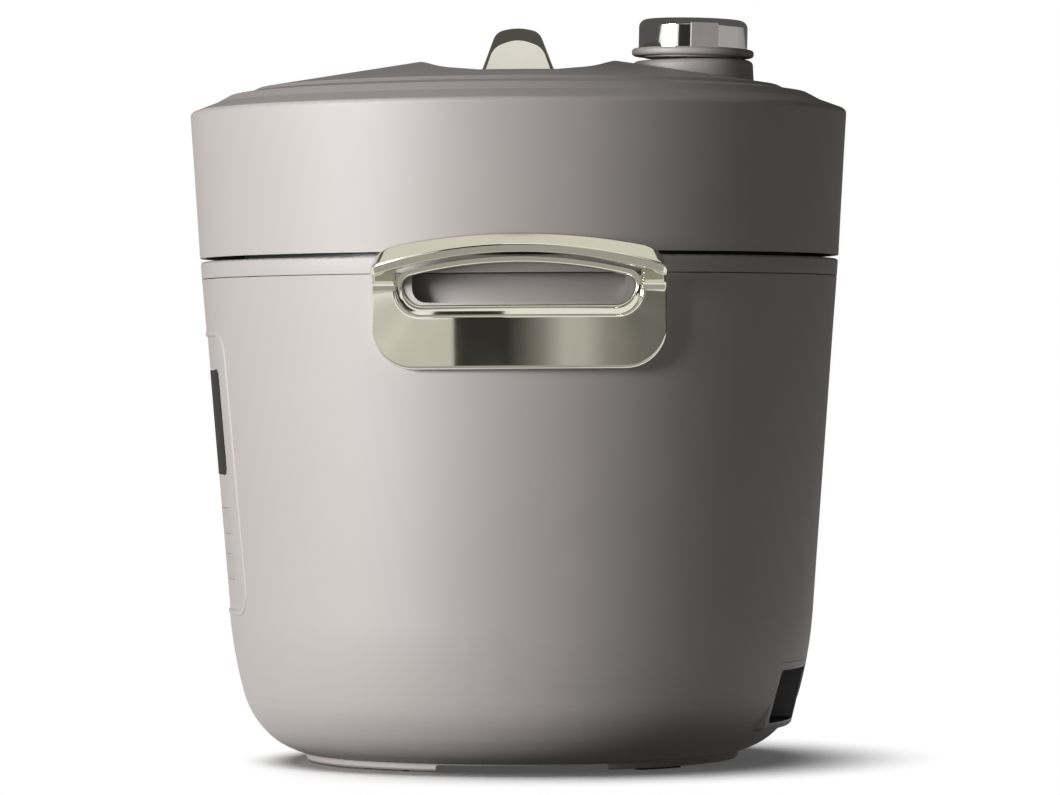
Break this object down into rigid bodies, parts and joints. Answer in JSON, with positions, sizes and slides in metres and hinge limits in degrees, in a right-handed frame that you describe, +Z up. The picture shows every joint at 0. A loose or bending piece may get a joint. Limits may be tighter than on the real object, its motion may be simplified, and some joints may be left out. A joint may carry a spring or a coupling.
{
  "type": "rice cooker",
  "caption": "Tapered round pressure rice cooker with a lift-off twist-lock lid, steam valve, front control panel, side carrying handles and rear power inlet.",
  "frame": {"origin": "on the floor under the drum's axis, at the underside of the foot pads", "axes": "+Z up, -Y towards the control panel, +Y towards the power inlet, the carrying handles on +X and -X"},
  "size_m": [0.3322, 0.29, 0.3272],
  "materials": {
    "body_satin": "satin",
    "lid_satin": "satin",
    "panel_satin": "satin",
    "button_plastic": "satin",
    "champagne_metal": "polished, pale gold",
    "chrome": "polished",
    "display_glass": "gloss",
    "black_plastic": "matte",
    "base_plastic": "matte",
    "rubber": "matte",
    "silicone": "matte, translucent",
    "steel": "brushed",
    "screw_steel": "plated",
    "aluminium": "cast",
    "pot_coating": "non-stick, satin",
    "brass": "plated",
    "board": "satin",
    "component": "satin"
  },
  "bodies": {
    "body": {"body_shell": "body_satin", "top_ring": "body_satin", "base_pan": "base_plastic", "foot_pads": "rubber", "support_posts": "steel", "base_screws": "screw_steel", "outer_pot": "steel", "heating_plate": "aluminium", "heating_element": "steel", "sensor_guide": "steel", "sensor_spring": "steel", "power_board": "board", "power_components": "component", "control_panel": "panel_satin", "display_window": "display_glass", "display_module": "component", "control_board": "board", "board_screws": "screw_steel", "key_switches": "component", "inlet_frame": "body_satin", "inlet_sleeve": "black_plastic", "inlet_socket": "black_plastic", "inlet_pins": "brass", "handle_right": "champagne_metal", "handle_left": "champagne_metal", "handle_bezel_right": "champagne_metal", "handle_bezel_left": "champagne_metal", "handle_screws": "screw_steel"},
    "pot": {"inner_pot": "pot_coating"},
    "inner_lid_assembly": {"inner_lid": "aluminium", "sealing_ring": "silicone", "centre_grommet": "silicone"},
    "lid": {"lid_cover": "lid_satin", "lid_liner": "steel", "lid_stud": "steel", "lid_screws": "screw_steel", "lid_handle": "champagne_metal", "lid_handle_screws": "screw_steel", "steam_pipe": "steel", "pipe_nut": "steel", "filter_cap": "steel"},
    "steam_valve": {"valve_core": "lid_satin", "valve_weight": "steel", "valve_shell": "chrome"},
    "float_pin": {"float_valve": "steel", "float_seal": "silicone"},
    "sensor": {"temperature_sensor": "aluminium"},
    "button_menu_body": {"button_menu": "button_plastic"},
    "button_minus_body": {"button_minus": "button_plastic"},
    "button_plus_body": {"button_plus": "button_plastic"},
    "button_cancel_body": {"button_cancel": "button_plastic"},
    "button_warm_body": {"button_warm": "button_plastic"},
    "button_start_body": {"button_start": "button_plastic"}
  },
  "joints": [
    {"name": "pot_lift", "type": "slide", "parent": "body", "child": "pot", "axis": [0, 0, 1], "range_m": [0, 0.18]},
    {"name": "lid_lift", "type": "slide", "parent": "pot", "child": "inner_lid_assembly", "axis": [0, 0, 1], "range_m": [0, 0.16]},
    {"name": "lid_turn", "type": "hinge", "parent": "inner_lid_assembly", "child": "lid", "pos_m": [0, 0, 0.2304], "axis": [0, 0, -1], "range_deg": [0, 30]},
    {"name": "valve_turn", "type": "hinge", "parent": "lid", "child": "steam_valve", "pos_m": [0, 0.0773, 0.3086], "axis": [0, 0.0262, 0.9997], "range_deg": [0, 60]},
    {"name": "float_rise", "type": "slide", "parent": "lid", "child": "float_pin", "axis": [0, 0, 1], "range_m": [0, 0.004]},
    {"name": "sensor_press", "type": "slide", "parent": "body", "child": "sensor", "axis": [0, 0, -1], "range_m": [0, 0.0015], "stiffness_N_per_m": 400, "springref_m": -0.004, "deforming": ["sensor_spring"]},
    {"name": "button_menu_press", "type": "slide", "parent": "body", "child": "button_menu_body", "axis": [0, 1, 0], "range_m": [0, 0.0008], "stiffness_N_per_m": 800, "springref_m": -0.0005},
    {"name": "button_minus_press", "type": "slide", "parent": "body", "child": "button_minus_body", "axis": [0, 1, 0], "range_m": [0, 0.0008], "stiffness_N_per_m": 800, "springref_m": -0.0005},
    {"name": "button_plus_press", "type": "slide", "parent": "body", "child": "button_plus_body", "axis": [0, 1, 0], "range_m": [0, 0.0008], "stiffness_N_per_m": 800, "springref_m": -0.0005},
    {"name": "button_cancel_press", "type": "slide", "parent": "body", "child": "button_cancel_body", "axis": [0, 1, 0], "range_m": [0, 0.0008], "stiffness_N_per_m": 800, "springref_m": -0.0005},
    {"name": "button_warm_press", "type": "slide", "parent": "body", "child": "button_warm_body", "axis": [0, 1, 0], "range_m": [0, 0.0008], "stiffness_N_per_m": 800, "springref_m": -0.0005},
    {"name": "button_start_press", "type": "slide", "parent": "body", "child": "button_start_body", "axis": [0, 1, 0], "range_m": [0, 0.0008], "stiffness_N_per_m": 800, "springref_m": -0.0005}
  ]
}
